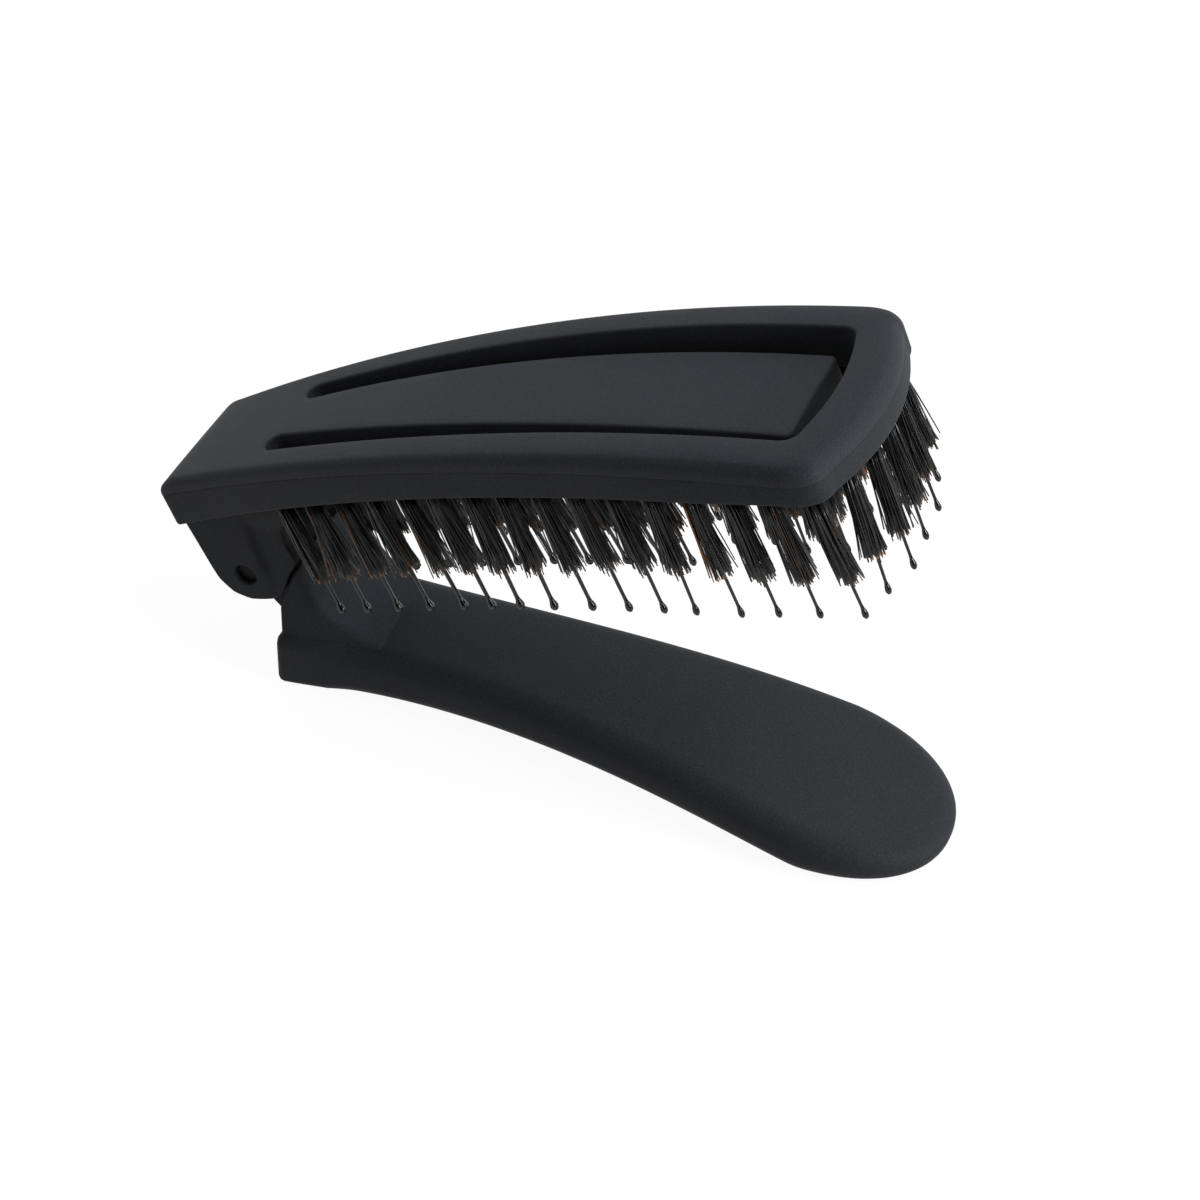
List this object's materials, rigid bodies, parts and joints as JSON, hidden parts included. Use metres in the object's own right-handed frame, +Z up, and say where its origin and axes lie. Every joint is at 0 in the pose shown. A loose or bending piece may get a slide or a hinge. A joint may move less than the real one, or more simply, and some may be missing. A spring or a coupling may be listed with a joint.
{
  "type": "folding hair brush",
  "caption": "Travel hair brush whose tufted, ball-tipped head folds on a friction hinge over a soft-touch paddle handle.",
  "frame": {"origin": "on the floor, on the flat foot under the handle's hinge end, in the middle plane", "axes": "+X along the handle to its free end, +Y across the brush, +Z up out of the handle's inner face"},
  "size_m": [0.1268, 0.0398, 0.0803],
  "materials": {
    "soft_touch_shell": "soft-touch matte black",
    "soft_touch_body": "soft-touch matte black",
    "hinge_plastic": "fine matte black",
    "bristles": "black hair tufts and glossy nylon pins",
    "bush_nylon": "natural nylon",
    "steel": "plain steel"
  },
  "bodies": {
    "handle": {"handle_body": "soft_touch_body", "hinge_block": "hinge_plastic", "handle_cover": "hinge_plastic", "hinge_bush": "bush_nylon", "washer_near": "steel", "washer_far": "steel", "tang_screw_1": "steel", "tang_screw_2": "steel", "cover_screw_1": "steel", "cover_screw_2": "steel"},
    "head": {"head_shell": "soft_touch_shell", "head_body": "soft_touch_body", "bristle_strip_near": "bristles", "bristle_strip_far": "bristles", "bristle_strip_tip": "bristles", "bristle_pad": "bristles", "hinge_pin": "steel"}
  },
  "joints": [
    {"name": "head_fold", "type": "hinge", "parent": "handle", "child": "head", "pos_m": [-0.0107, 0, 0.0202], "axis": [0, -1, 0], "range_deg": [-2.5, 135]}
  ]
}
